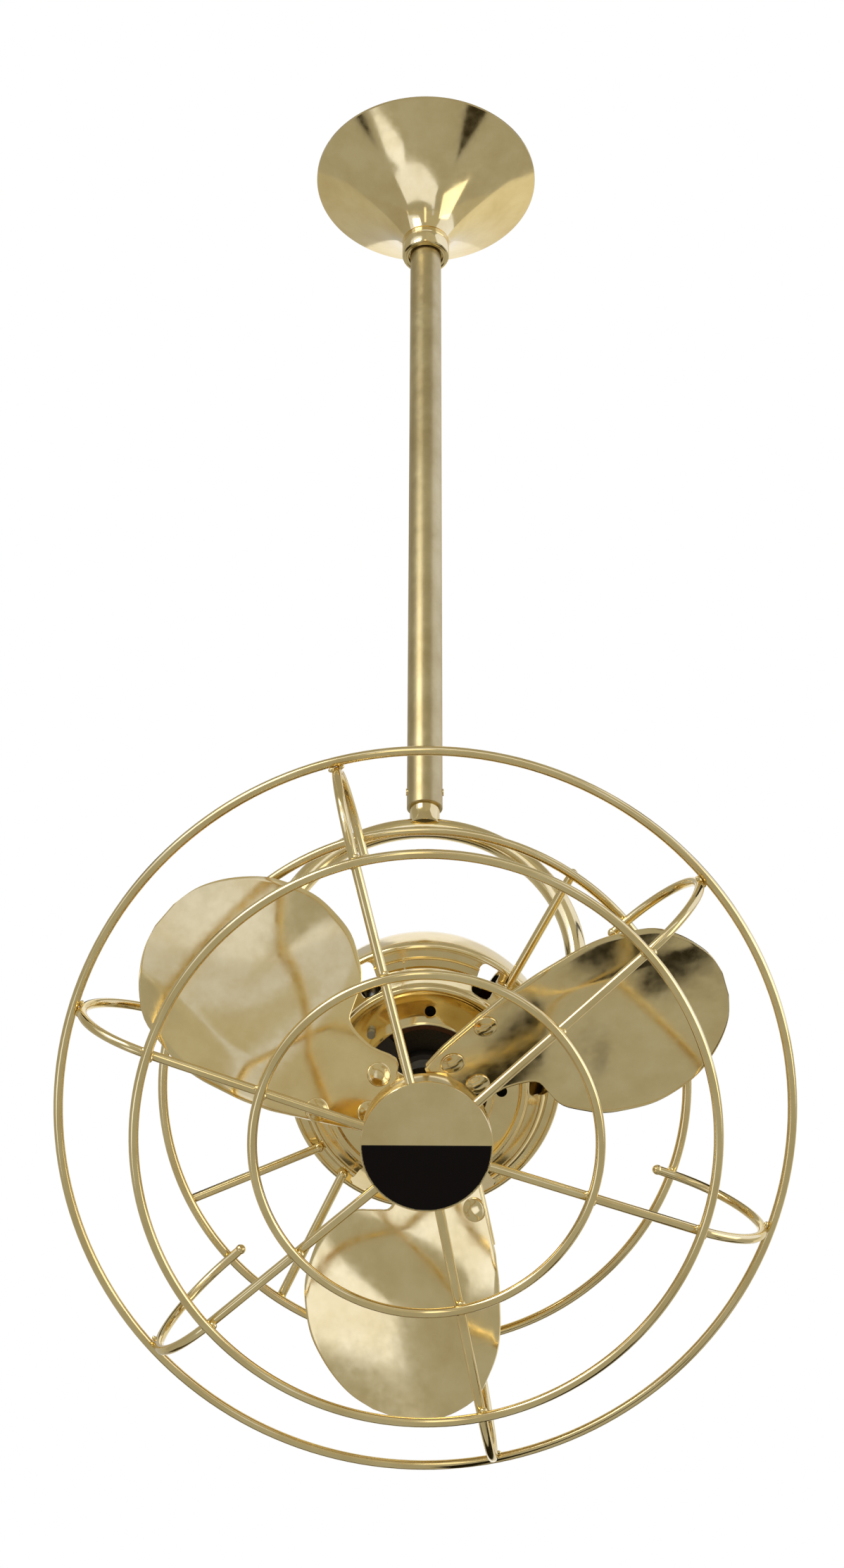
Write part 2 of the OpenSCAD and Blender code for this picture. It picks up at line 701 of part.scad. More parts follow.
module blade_hub() {
    color(brass_light) difference() {
        union() {
            head() translate([0, 0, hub_back_s]) cylinder(r = hub_r, h = hub_front_s - hub_back_s);
            for (k = [0:2]) at_blade(k) blade_arm();
        }
        head() translate([0, 0, hub_back_s - 30]) cylinder(d = shaft_d, h = hub_front_s - hub_back_s + 24);
        head() translate([0, 0, hub_back_s]) cylinder(d = hub_thread_d, h = hub_front_s);
        for (k = [0:2]) at_blade(k) for (p = rivet_places) rivet_frame(p)
            translate([0, 0, -arm_t - 1]) cylinder(d = rivet_d, h = arm_t + 2);
    }
}

module hub_nut() {
    color(brass_dark) head() translate([0, 0, hub_front_s]) difference() {
        union() {
            cylinder(d = 14, h = hub_nut_t - 1, $fn = 6);
            translate([0, 0, hub_nut_t - 1]) cylinder(d1 = 12, d2 = 8, h = 2);
        }
        translate([0, 0, -1]) cylinder(d = hub_thread_d, h = hub_nut_t - 1);
    }
}

// One pressed blade: a flat root that turns into a wide hollow paddle
module blade(k) {
    n = len(blade_plan) - 1;
    m = chord_steps;
    row = m + 1;
    back = [for (i = [0:n]) for (j = [0:m]) blade_point(i, j / m, 0)];
    front = [for (i = [0:n]) for (j = [0:m]) blade_point(i, j / m, blade_t)];
    f0 = len(back);
    skin = [for (i = [0:n - 1]) for (j = [0:m - 1]) let (a = i * row + j)
        for (q = [[a, a + row, a + row + 1], [a, a + row + 1, a + 1],
            [f0 + a, f0 + a + row + 1, f0 + a + row], [f0 + a, f0 + a + 1, f0 + a + row + 1]]) q];
    sides = [for (i = [0:n - 1]) let (a = i * row, b = i * row + m)
        for (q = [[a, f0 + a, f0 + a + row], [a, f0 + a + row, a + row],
            [b, f0 + b + row, f0 + b], [b, b + row, f0 + b + row]]) q];
    ends = [for (j = [0:m - 1]) let (a = j, b = n * row + j)
        for (q = [[a, a + 1, f0 + a + 1], [a, f0 + a + 1, f0 + a],
            [b, f0 + b + 1, b + 1], [b, f0 + b, f0 + b + 1]]) q];
    color(brass) at_blade(k) difference() {
        polyhedron(concat(back, front), concat(skin, sides, ends));
        for (p = rivet_places) rivet_frame(p) translate([0, 0, -1])
            cylinder(d = rivet_d, h = blade_t + 2, $fn = 24);
    }
}

module blade_1() { blade(0); }
module blade_2() { blade(1); }
module blade_3() { blade(2); }

// Rivets through each blade's root and its arm
module blade_rivets() {
    color(brass_light) for (k = [0:2]) at_blade(k) for (p = rivet_places) rivet_frame(p) {
        translate([0, 0, -arm_t - 1.6]) cylinder(d = rivet_d + 2.4, h = 1.5);
        translate([0, 0, -arm_t - 0.2]) cylinder(d = rivet_d, h = arm_t + blade_t + 0.3);
        translate([0, 0, blade_t + 0.05]) intersection() {
            translate([0, 0, -rivet_head_d]) sphere(r = norm([rivet_head_d, rivet_head_d / 2]));
            cylinder(d = rivet_head_d, h = 3);
        }
    }
}

module back_ring() { color(brass) head() wire_ring(back_ring_r, back_ring_s); }
module outer_ring() { color(brass) head() wire_ring(outer_ring_r, outer_ring_s); }

// Where the middle of a hoop's wire lies at a radius, for the rings that sit on it: on the
// straight spoke first, and on the half turn beyond it
function spoke_s(r) = hoop_front_s + (hoop_mid_r - r) * tan(spoke_fall)
    + (1 / cos(spoke_fall) - 1) * hoop_half;
function on_bend(r) = hoop_mid_s
    + sqrt(pow(hoop_half + wire_r + weld_r + 0.03, 2) - pow(r - hoop_mid_r, 2));
function on_hoop(r) = r < hoop_mid_r + (hoop_half + wire_d) * sin(spoke_fall)
    ? spoke_s(r) + wire_d / cos(spoke_fall) : on_bend(r);

module middle_front_ring() { color(brass) head() wire_ring(mid_ring_r, on_hoop(mid_ring_r)); }
module inner_front_ring() { color(brass) head() wire_ring(inner_ring_r, on_hoop(inner_ring_r)); }

// One hoop: a spoke from the medallion, a half turn at the rim, and a short return. The spoke
// and the half turn meet in a small bead.
module hoop(k) {
    short = 0.4;
    arc = 180 - spoke_fall - short / hoop_half * 180 / PI;
    start_r = medallion_r + wire_r * sin(spoke_fall) + 0.05;
    bend_r = hoop_mid_r + hoop_half * sin(spoke_fall);
    lean = k == 2 ? second_hoop_lean : k == 3 ? third_hoop_lean : 0;
    color(brass) head() rotate([0, 0, hoop_start + 360 / hoop_count * (k - 1) + lean]) {
        bar([start_r, 0, spoke_s(start_r)], [bend_r - short, 0, spoke_s(bend_r - short)], wire_r);
        translate([bend_r, 0, spoke_s(bend_r)]) rotate([0, 90 + spoke_fall, 0]) sphere(weld_r);
        translate([hoop_mid_r, 0, hoop_mid_s]) rotate([90, 0, 0]) rotate([0, 0, -90])
            rotate_extrude(angle = arc) translate([hoop_half, 0]) circle(wire_r, $fn = 24);
        translate([hoop_mid_r - hoop_over, 0, hoop_back_s]) rotate([0, 90, 0])
            cylinder(r = wire_r, h = hoop_over);
        translate([hoop_mid_r - hoop_over, 0, hoop_back_s]) rotate([0, 90, 0]) sphere(weld_r);
    }
}

module hoop_1() { hoop(1); }
module hoop_2() { hoop(2); }
module hoop_3() { hoop(3); }
module hoop_4() { hoop(4); }
module hoop_5() { hoop(5); }
module hoop_6() { hoop(6); }

// Struts from the shoulder of the motor housing to the back of the cage
band_lean = atan2(2.8, band_front_s - drum_front_s - 2.4);
strut_foot_r = band_r - 1.3 + (weld_r + 0.05) * cos(band_lean);
strut_foot_s = drum_front_s + 1.6 + 1.3 / tan(band_lean) + (weld_r + 0.05) * sin(band_lean);
strut_spread = 15;
strut_foot_turn = 8.3;

module strut(mid, side) {
    foot = [strut_foot_r * cos(mid + side * strut_foot_turn),
        strut_foot_r * sin(mid + side * strut_foot_turn), strut_foot_s];
    top = [back_ring_r * cos(mid + side * strut_spread),
        back_ring_r * sin(mid + side * strut_spread), back_ring_s - wire_r - weld_r - 0.03];
    color(brass) head() {
        bar(foot, top, wire_r);
        translate(foot) sphere(weld_r);
        translate(top) sphere(weld_r);
    }
}

module strut_1() { strut(hoop_start, -1); }
module strut_2() { strut(hoop_start, 1); }
module strut_3() { strut(hoop_start + 180, -1); }
module strut_4() { strut(hoop_start + 180, 1); }

// Medallion: a shallow cup that the spokes are welded to, and its two-tone face
module medallion_cup() {
    color(brass) head() translate([0, 0, medallion_back_s]) difference() {
        cylinder(r = medallion_r, h = medallion_depth - face_t);
        translate([0, 0, -1]) cylinder(r = medallion_r - 1.5, h = medallion_depth - face_t);
    }
}

module lower_half(r, h) {
    intersection() {
        cylinder(r = r, h = h);
        translate([-r, -2 * r + split_y, 0]) cube([2 * r, 2 * r, h]);
    }
}

module medallion_face() {
    color(brass_light) head() translate([0, 0, medallion_front_s - face_t]) difference() {
        cylinder(r = medallion_r, h = face_t);
        translate([0, 0, face_t - enamel_t]) lower_half(medallion_r - 0.6, 1);
    }
}

module medallion_enamel() {
    color(enamel_black) head() translate([0, 0, medallion_front_s - enamel_t])
        lower_half(medallion_r - 0.6, enamel_t);
}

ceiling_bracket();
hanger_bolt();
hanger_nut();
hanger_bushes();
terminal_block();
supply_leads();
canopy();
canopy_collar();
collar_screw();
downrod();
stem_screws();
fork();
spring_washers();
tilt_bolts();
friction_washers();
rear_housing();
front_housing();
through_bolts();
through_bolt_nuts();
motor_spacers();
bearing_bridge();
stator_core();
stator_windings();
front_bearing();
rear_bearing();
run_capacitor();
motor_shaft();
rotor_core();
blade_hub();
hub_nut();
blade_1();
blade_2();
blade_3();
blade_rivets();
back_ring();
inner_front_ring();
middle_front_ring();
outer_ring();
hoop_1();
hoop_2();
hoop_3();
hoop_4();
hoop_5();
hoop_6();
strut_1();
strut_2();
strut_3();
strut_4();
medallion_cup();
medallion_face();
medallion_enamel();
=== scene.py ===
# Caged directional ceiling fan: a canopy and rod, a fork that swivels, and a tilting fan head.
# Metres, Z up. The origin is the ceiling bracket's top face, and the head faces -Y.
import json
import math

import bpy
from mathutils import Euler, Matrix, Vector

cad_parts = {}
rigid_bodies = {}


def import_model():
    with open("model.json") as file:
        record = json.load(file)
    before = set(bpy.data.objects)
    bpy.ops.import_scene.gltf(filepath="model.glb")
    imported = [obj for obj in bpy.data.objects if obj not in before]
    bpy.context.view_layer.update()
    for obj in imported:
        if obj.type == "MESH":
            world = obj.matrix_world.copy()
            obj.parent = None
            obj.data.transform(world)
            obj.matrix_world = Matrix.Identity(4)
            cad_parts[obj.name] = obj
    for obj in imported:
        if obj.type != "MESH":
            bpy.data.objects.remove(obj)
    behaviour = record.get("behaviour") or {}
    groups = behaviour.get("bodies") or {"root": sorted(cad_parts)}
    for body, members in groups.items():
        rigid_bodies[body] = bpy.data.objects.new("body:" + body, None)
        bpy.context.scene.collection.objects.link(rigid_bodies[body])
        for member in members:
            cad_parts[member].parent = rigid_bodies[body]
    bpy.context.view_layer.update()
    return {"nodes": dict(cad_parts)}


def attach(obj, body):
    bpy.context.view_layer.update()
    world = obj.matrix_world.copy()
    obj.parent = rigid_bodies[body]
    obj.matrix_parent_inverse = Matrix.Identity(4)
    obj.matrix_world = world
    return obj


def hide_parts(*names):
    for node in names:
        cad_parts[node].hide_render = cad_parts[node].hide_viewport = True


bpy.ops.object.select_all(action="SELECT")
bpy.ops.object.delete()
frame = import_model()
bpy.ops.object.select_all(action="DESELECT")
MM = 0.001

# ---- Camera ----
# The photograph looks up at the fan from below and in front, with a normal lens. The picture
# is taller than it is wide, so the lens is set against the tall side. The place is in mm, the
# angles are in degrees.
camera_place = (-9.3, -1037.5, -1089.3)
camera_rise, camera_bearing, camera_lean = 31.41, -0.43, 0.15
camera_data = bpy.data.cameras.new("camera")
camera_data.sensor_fit = "VERTICAL"
camera_data.sensor_height = 36
camera_data.lens = 51.78
camera = bpy.data.objects.new("camera", camera_data)
bpy.context.scene.collection.objects.link(camera)
camera_turn = Euler((math.radians(90 + camera_rise), 0,
                     math.radians(camera_bearing))).to_matrix()
camera_roll = Matrix.Rotation(math.radians(camera_lean), 3, "Z")
camera.matrix_world = (Matrix.Translation([c * MM for c in camera_place])
                       @ (camera_turn @ camera_roll).to_4x4())
bpy.context.scene.camera = camera
bpy.context.scene.view_settings.view_transform = "Standard"


# ---- Studio ----
# A pale room round the fan. Seen directly or in the brass the room is white, and its light on
# other surfaces is lower.
def add_node(tree, kind, inputs=None, **settings):
    """Adds a node. A value in inputs that is a socket is linked, and any other is set."""
    node = tree.nodes.new(kind)
    for key, value in settings.items():
        setattr(node, key, value)
    for key, value in (inputs or {}).items():
        if isinstance(value, bpy.types.NodeSocket):
            tree.links.new(value, node.inputs[key])
        else:
            node.inputs[key].default_value = value
    return node


def linear(hex_colour):
    """An sRGB hex colour as linear RGBA."""
    parts = [int(hex_colour[i:i + 2], 16) / 255 for i in (1, 3, 5)]
    return tuple(c / 12.92 if c <= 0.04045 else ((c + 0.055) / 1.055) ** 2.4
                 for c in parts) + (1.0,)


def new_material(name):
    material = bpy.data.materials.new(name)
    material.use_nodes = True
    material.node_tree.nodes.clear()
    return material, material.node_tree


def reflected_card(card, name, colour, level):
    """Makes a plane a card of the studio. It shines evenly, and only what mirrors sees it."""
    card.name = card.data.name = name
    card.visible_camera = card.visible_diffuse = card.visible_shadow = False
    paint, t = new_material(name + "_paint")
    glow = add_node(t, "ShaderNodeEmission", {"Color": colour, "Strength": level})
    add_node(t, "ShaderNodeOutputMaterial", {"Surface": glow.outputs[0]})
    card.data.materials.append(paint)


room_level, room_seen_level = 0.55, 1.0
world = bpy.data.worlds.new("studio")
world.use_nodes = True
bpy.context.scene.world = world
wt = world.node_tree
wt.nodes.clear()
rays = add_node(wt, "ShaderNodeLightPath")
seen = add_node(wt, "ShaderNodeMath", {0: rays.outputs["Is Camera Ray"],
                                       1: rays.outputs["Is Glossy Ray"]},
                operation="MAXIMUM")
seen = add_node(wt, "ShaderNodeMath", {0: seen.outputs[0],
                                       1: rays.outputs["Is Transmission Ray"]},
                operation="MAXIMUM")
room_light = add_node(wt, "ShaderNodeBackground", {"Color": linear("#fdfaf4"),
                                                   "Strength": room_level})
room_seen = add_node(wt, "ShaderNodeBackground", {"Color": (1, 1, 1, 1),
                                                  "Strength": room_seen_level})
room = add_node(wt, "ShaderNodeMixShader", {0: seen.outputs[0], 1: room_light.outputs[0],
                                            2: room_seen.outputs[0]})
add_node(wt, "ShaderNodeOutputWorld", {"Surface": room.outputs[0]})

# Cards stand round the fan, as in a product studio. The camera doesn't see them, but the brass
# mirrors them. Each faces the fan's head or its canopy, and is given by its bearing from the
# front, its height angle, its distance in metres, its width and height in degrees, its
# brightness and its colour.
head, canopy = Vector((0, -0.1, -0.55)), Vector((0, 0, -0.035))
cool, plain, warm = "#d5ddff", "#fffcf4", "#ffe9b0"
for name, faces, bearing, rise, distance, wide, tall, level, tint in (
        ("front_left_card", head, -32, 12, 4.0, 64, 84, 0.46, plain),
        ("left_card", head, -95, 12, 4.0, 62, 84, 0.4, plain),
        ("front_right_card", head, 32, 12, 4.1, 64, 84, 0.5, plain),
        ("right_card", head, 95, 12, 4.0, 62, 84, 0.5, plain),
        ("rear_left_card", head, -146, 5, 3.6, 44, 100, 0.5, plain),
        ("rear_right_card", head, 146, 5, 3.6, 44, 100, 0.8, plain),
        ("bright_left_card", head, -45, 18, 3.7, 48, 42, 1.3, cool),
        ("bright_right_card", head, 86, 24, 3.7, 80, 58, 1.4, cool),
        ("low_rear_card", head, 180, -48, 1.1, 70, 26, 0.06, warm),
        ("top_card", head, 0, 84, 3.0, 70, 70, 0.4, plain),
        ("pale_card", head, 24, -21, 2.4, 9, 21, 1.25, cool),
        ("narrow_card", head, 25, -6, 3.4, 6, 9, 1.0, cool),
        ("window_card", head, -58, -41, 1.29, 22, 16, 1.65, cool),
        ("streak_card", head, -3, 0, 3.4, 7, 44, 1.5, plain),
        ("canopy_card", canopy, -17, -40, 0.6, 70, 20, 1.5, cool),
        ("canopy_left_dark_card", canopy, -103, -56, 0.45, 44, 17, 0.03, warm),
        ("canopy_right_dark_card", canopy, 80, -57, 0.45, 38, 17, 0.03, warm),
        ("dark_card", head, 100, -59, 0.95, 18, 5, 0.015, warm),
        ("dark_edge_card", head, 144, -68, 0.3, 26, 5, 0.015, warm)):
    turn = Euler((math.radians(-rise), 0, math.radians(bearing))).to_matrix()
    toward = turn @ Vector((0, -1, 0))
    bpy.ops.mesh.primitive_plane_add(size=1, location=faces + toward * distance)
    card = bpy.context.object
    card.scale = (2 * distance * math.tan(math.radians(wide / 2)),
                  2 * distance * math.tan(math.radians(tall / 2)), 1)
    card.rotation_euler = toward.to_track_quat("Z", "Y").to_euler()
    reflected_card(card, name, linear(tint), level)

# A pale floor at room depth, with room above it for a camera that looks up. The brass doesn't
# see it, but a card of its shade nearer the fan.
floor_size, floor_z, floor_colour, floor_lift = 160, -4.2, linear("#f6f4ef"), 0.32
bpy.ops.mesh.primitive_plane_add(size=floor_size, location=(0, 0, floor_z))
floor = bpy.context.object
floor.name = floor.data.name = "floor"
floor.visible_glossy = False
paint, t = new_material("pale_floor")
rays = add_node(t, "ShaderNodeLightPath")
matte = add_node(t, "ShaderNodeBsdfDiffuse", {"Color": floor_colour})
lift = add_node(t, "ShaderNodeMath", {0: rays.outputs["Is Camera Ray"], 1: floor_lift},
                operation="MULTIPLY")
pale = add_node(t, "ShaderNodeEmission", {"Color": floor_colour, "Strength": lift.outputs[0]})
both = add_node(t, "ShaderNodeAddShader", {0: matte.outputs[0], 1: pale.outputs[0]})
add_node(t, "ShaderNodeOutputMaterial", {"Surface": both.outputs[0]})
floor.data.materials.append(paint)

shade_size, shade_z, shade_level = 9, -1.5, 0.42
bpy.ops.mesh.primitive_plane_add(size=shade_size, location=(0, 0, shade_z))
reflected_card(bpy.context.object, "floor_shade_card", (1, 1, 1, 1), shade_level)

# Two soft lamps light what isn't metal, and give the brass its small bright highlights. Each
# is given by its place and size in metres and its power in watts.
for name, place, size, power in (("key_lamp", (-1.2, -1.6, 0.3), 1.0, 14),
                                 ("fill_lamp", (1.95, -0.9, -0.9), 1.4, 8)):
    lamp = bpy.data.lights.new(name, "AREA")
    lamp.size = size
    lamp.energy = power
    lamp_object = bpy.data.objects.new(name, lamp)
    bpy.context.scene.collection.objects.link(lamp_object)
    lamp_object.location = place
    aim = head - Vector(place)
    lamp_object.rotation_euler = aim.to_track_quat("-Z", "Y").to_euler()


# ---- Brass ----
# Sheet, tube and wire of yellow brass, buffed or left satin, under clear lacquer. The lacquer
# clouds the colour in wide patches, wiping leaves finer marks in the shine, and buffing leaves
# the surface a little wavy.
cloud_mm, wipe_mm, swirl_mm, swirl_deep_mm = 26.3158, 5.26316, 16.66667, 0.6


def lacquered_brass(name, light, dark, rough_low, rough_high):
    """Brass between two tones of colour and two of roughness."""
    material, t = new_material(name)
    where = add_node(t, "ShaderNodeTexCoord").outputs["Object"]
    cloud = add_node(t, "ShaderNodeTexNoise", {"Vector": where, "Scale": 1000 / cloud_mm,
                                               "Detail": 5, "Roughness": 0.6})
    tone = add_node(t, "ShaderNodeMapRange", {"Value": cloud.outputs[0], "From Min": 0.35,
                                              "From Max": 0.7})
    colour = add_node(t, "ShaderNodeMix", {"Factor": tone.outputs[0]}, data_type="RGBA")
    colour.inputs[6].default_value = linear(light)
    colour.inputs[7].default_value = linear(dark)
    wipe = add_node(t, "ShaderNodeTexNoise", {"Vector": where, "Scale": 1000 / wipe_mm,
                                              "Detail": 3})
    rough = add_node(t, "ShaderNodeMapRange", {"Value": wipe.outputs[0], "From Min": 0.3,
                                               "From Max": 0.75, "To Min": rough_low,
                                               "To Max": rough_high})
    swirl = add_node(t, "ShaderNodeTexNoise", {"Vector": where, "Scale": 1000 / swirl_mm,
                                               "Detail": 2})
    bump = add_node(t, "ShaderNodeBump", {"Strength": 0.06, "Distance": swirl_deep_mm * MM,
                                          "Height": swirl.outputs[0]})
    shader = add_node(t, "ShaderNodeBsdfPrincipled", {
        "Base Color": colour.outputs[2], "Metallic": 1.0, "Roughness": rough.outputs[0],
        "Normal": bump.outputs[0]})
    add_node(t, "ShaderNodeOutputMaterial", {"Surface": shader.outputs[0]})
    return material


# Buffed brass is a warm, sharp mirror that shows the room's light and dark on every bend.
brass = lacquered_brass("polished_lacquered_brass", "#f2dda2", "#e4cb8c", 0.08, 0.15)
# Satin brass is paler and duller, and blurs the room to soft streaks along the rod.
satin_brass = lacquered_brass("satin_lacquered_brass", "#cdbb88", "#b9a572", 0.3, 0.42)

# ---- Canopy ----
# A bell spun from sheet brass that hides the bracket, polished and lacquered. It flares from
# its neck to a rolled rim that meets the ceiling, and the collar below holds it up.
def turned(profile, sides=96, closed=False):
    """Draws a circle out step by step along (radius, height) points in mm, as on a lathe.
    A closed profile ends where it began and gives a hollow piece."""
    radius, height = profile[0]
    bpy.ops.mesh.primitive_circle_add(vertices=sides, radius=radius * MM,
                                      fill_type="NOTHING" if closed else "NGON")
    bpy.ops.object.mode_set(mode="EDIT")
    bpy.ops.mesh.select_all(action="SELECT")
    bpy.ops.transform.translate(value=(0, 0, height * MM))
    for next_radius, next_height in profile[1:]:
        bpy.ops.mesh.extrude_region_move(TRANSFORM_OT_translate={
            "value": (0, 0, (next_height - height) * MM)})
        grow = next_radius / radius
        bpy.ops.transform.resize(value=(grow, grow, 1), center_override=(0, 0, next_height * MM))
        radius, height = next_radius, next_height
    bpy.ops.mesh.select_all(action="SELECT")
    bpy.ops.mesh.remove_doubles(threshold=0.000002)
    bpy.ops.mesh.normals_make_consistent(inside=False)
    bpy.ops.object.mode_set(mode="OBJECT")
    return bpy.context.object


def only(piece):
    """Selects one piece and nothing else."""
    bpy.ops.object.select_all(action="DESELECT")
    piece.select_set(True)
    bpy.context.view_layer.objects.active = piece


def modify(piece, kind, **settings):
    """Adds one modifier to a piece and applies it."""
    only(piece)
    modifier = piece.modifiers.new(kind.lower(), kind)
    for key, value in settings.items():
        setattr(modifier, key, value)
    bpy.ops.object.modifier_apply(modifier=modifier.name)
    return piece


def joined(parts):
    """Joins like parts into one piece."""
    bpy.ops.object.select_all(action="DESELECT")
    for part in parts:
        part.select_set(True)
    bpy.context.view_layer.objects.active = parts[0]
    bpy.ops.object.join()
    return parts[0]


def finished(piece, name, material, body, stands_for, place=Matrix(), smooth=35):
    """Puts a piece's place in its mesh, smooths and paints it, and hands it to its body."""
    bpy.context.view_layer.update()
    piece.data.transform(place @ piece.matrix_world)
    piece.matrix_world = Matrix()
    piece.name = piece.data.name = name
    piece.data.materials.clear()
    piece.data.materials.append(material)
    only(piece)
    bpy.ops.object.shade_smooth_by_angle(angle=math.radians(smooth))
    bpy.ops.object.select_all(action="DESELECT")
    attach(piece, body)
    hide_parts(*stands_for)


canopy_r, canopy_h, neck_r, canopy_wall, canopy_flare = 70, 55, 14.7, 1.2, 1.55
rim_h, rim_in, canopy_bore_r, bell_steps = 2.5, 2.2, 9.9, 28
bell = [(neck_r + (canopy_r - neck_r) * (1 - k / bell_steps) ** canopy_flare,
         -rim_h - (canopy_h - rim_h) * k / bell_steps) for k in range(bell_steps + 1)]
inside = [(max(r - canopy_wall * 1.5, canopy_bore_r + 0.3), min(z + 0.4, -0.9) if k > 2 else -3)
          for k, (r, z) in reversed(list(enumerate(bell)))]
canopy_profile = ([(canopy_r - rim_in, -0.5), (canopy_r - 1.2, 0), (canopy_r - 0.5, -0.2),
                   (canopy_r, -0.9)] + bell
                  + [(canopy_bore_r, -canopy_h), (canopy_bore_r, -canopy_h + canopy_wall)]
                  + inside + [(canopy_r - rim_in, -0.5)])
finished(turned(canopy_profile, 128, closed=True), "canopy_bell", brass, "ceiling_mount",
         ["canopy"], smooth=50)

# ---- Collar and rod ----
# A turned brass collar with a recess round the rod and a grub screw in its back, and a drawn
# brass tube. The collar's edges are broken by hand with a file.
canopy_low, collar_h, collar_r, collar_bore_r, recess_r = -canopy_h, 13, 14.7, 9.7, 10.7
collar_low = canopy_low - collar_h
finished(turned([(collar_bore_r, canopy_low), (collar_r - 0.7, canopy_low),
                 (collar_r, canopy_low - 0.7), (collar_r, canopy_low - 3.6),
                 (collar_r - 0.25, canopy_low - 3.9), (collar_r, canopy_low - 4.2),
                 (collar_r, collar_low + 1.4), (collar_r - 0.4, collar_low + 0.5),
                 (collar_r - 1.4, collar_low), (12.6, collar_low), (12.0, collar_low + 0.4),
                 (11.4, collar_low + 0.3), (recess_r + 0.2, collar_low + 0.3),
                 (recess_r, collar_low + 0.6), (recess_r, collar_low + 4),
                 (collar_bore_r, collar_low + 4), (collar_bore_r, canopy_low)], closed=True),
         "turned_collar", brass, "ceiling_mount", ["canopy_collar"])

rod_r, rod_bore_r, rod_top, rod_bottom, rod_ring_gap = 9.6, 8.05, -10, -471.5, 43.5
rod = turned([(rod_bore_r, rod_top), (rod_r - 0.3, rod_top), (rod_r, rod_top - 0.3)]
             + [(rod_r, rod_top - 20 - k * rod_ring_gap) for k in range(11)]
             + [(rod_r, rod_bottom + 0.4), (rod_r - 0.4, rod_bottom), (rod_bore_r, rod_bottom),
                (rod_bore_r, rod_top)], closed=True)
finished(rod, "drawn_rod", satin_brass, "ceiling_mount", ["downrod"])

# ---- Fork ----
# One length of brass tube bent to an arch with two straight legs, an eye brazed to each end,
# and a stem brazed in at the top that turns inside the rod.
arch_z, pivot_z, fork_r, fork_tube_r = -561.8, -619.0, 78.3, 5.5
eye_r, eye_bore_r, eye_in, eye_out, leg_heights = 10, 4.05, 72.3, 84.3, (6, 24, 42)


def drawn(points, radius, sides=16, ring=False):
    """Draws a round wire or tube of a radius along points, all in mm."""
    path = bpy.data.curves.new("drawn", "CURVE")
    path.dimensions = "3D"
    path.bevel_depth = radius * MM
    path.bevel_resolution = sides // 4
    path.use_fill_caps = not ring
    spline = path.splines.new("POLY")
    spline.points.add(len(points) - 1)
    for point, place in zip(spline.points, points):
        point.co = (place[0] * MM, place[1] * MM, place[2] * MM, 1)
    spline.use_cyclic_u = ring
    piece = bpy.data.objects.new("drawn", path)
    bpy.context.scene.collection.objects.link(piece)
    only(piece)
    bpy.ops.object.convert(target="MESH")
    piece = bpy.context.object
    bpy.ops.object.mode_set(mode="EDIT")
    bpy.ops.mesh.select_all(action="SELECT")
    bpy.ops.mesh.remove_doubles(threshold=0.000002)
    bpy.ops.mesh.normals_make_consistent(inside=False)
    bpy.ops.object.mode_set(mode="OBJECT")
    return piece


fork_path = [(-fork_r, 0, pivot_z + height) for height in leg_heights]
fork_path += [(-fork_r * math.cos(math.radians(a)), 0,
               arch_z + fork_r * math.sin(math.radians(a))) for a in range(0, 181, 3)]
fork_path += [(fork_r, 0, pivot_z + height) for height in reversed(leg_heights)]
fork_parts = [drawn(fork_path, fork_tube_r, 24)]
for side in (-1, 1):
    eye = turned([(eye_bore_r, eye_in), (eye_r - 0.8, eye_in), (eye_r, eye_in + 0.8),
                  (eye_r, eye_out - 0.8), (eye_r - 0.8, eye_out), (eye_bore_r, eye_out),
                  (eye_bore_r, eye_in)], 48, closed=True)
    eye.matrix_world = (Matrix.Translation((0, 0, pivot_z * MM))
                        @ Matrix.Rotation(math.radians(side * 90), 4, "Y"))
    fork_parts.append(eye)
stem_top, stem_bore_r, stem_r, groove_r = -429.5, 5, 8.0, 6.8
stem = turned([(stem_bore_r, stem_top), (stem_r - 0.3, stem_top), (stem_r, stem_top - 0.4),
               (stem_r, -458), (groove_r, -458.3), (groove_r, -463.7), (stem_r, -464),
               (stem_r, -474), (stem_r, -480.5), (9.4, -483.0), (stem_bore_r, -484),
               (stem_bore_r, stem_top)], 48, closed=True)
fork_parts.append(stem)
finished(joined(fork_parts), "bent_fork", brass, "fork", ["fork"])

# ---- Cage ----
# Round brass wire, bent and welded: two rings in front, the widest one round the middle, one
# behind, and six hoops from the medallion's cup out to the widest ring and back to the rear
# one. The welds are small beads left as they set.
head_place = (Matrix.Translation((0, 0, pivot_z * MM))
              @ Matrix.Rotation(math.radians(90 + 38.9), 4, "X"))
wire_r = 2.2
end_bead_r = wire_r + 0.25
back_ring_r, back_ring_s = 125.3, 53.2
outer_ring_r, outer_ring_s = 168.4, 97.1
hoop_half, hoop_mid_r, hoop_mid_s = 39.5, 124.5, 97.1
spoke_fall = math.radians(4.8)
middle_ring_r, middle_ring_s, inner_ring_r, ring_steps = 128.6, 141.09, 76.3, 180
medallion_r = 29.2


def spoke_s(radius):
    """Where the middle of a spoke lies along the head's axis at a distance out."""
    return (hoop_mid_s + hoop_half + (hoop_mid_r - radius) * math.tan(spoke_fall)
            + (1 / math.cos(spoke_fall) - 1) * hoop_half)


def on_spoke(radius):
    """Where a ring laid on the spokes has its middle along the axis."""
    return spoke_s(radius) + 2 * wire_r / math.cos(spoke_fall)


def turned_to(piece, angle):
    """Turns a piece round the head's axis."""
    piece.matrix_world = Matrix.Rotation(math.radians(angle), 4, "Z") @ piece.matrix_world
    return piece


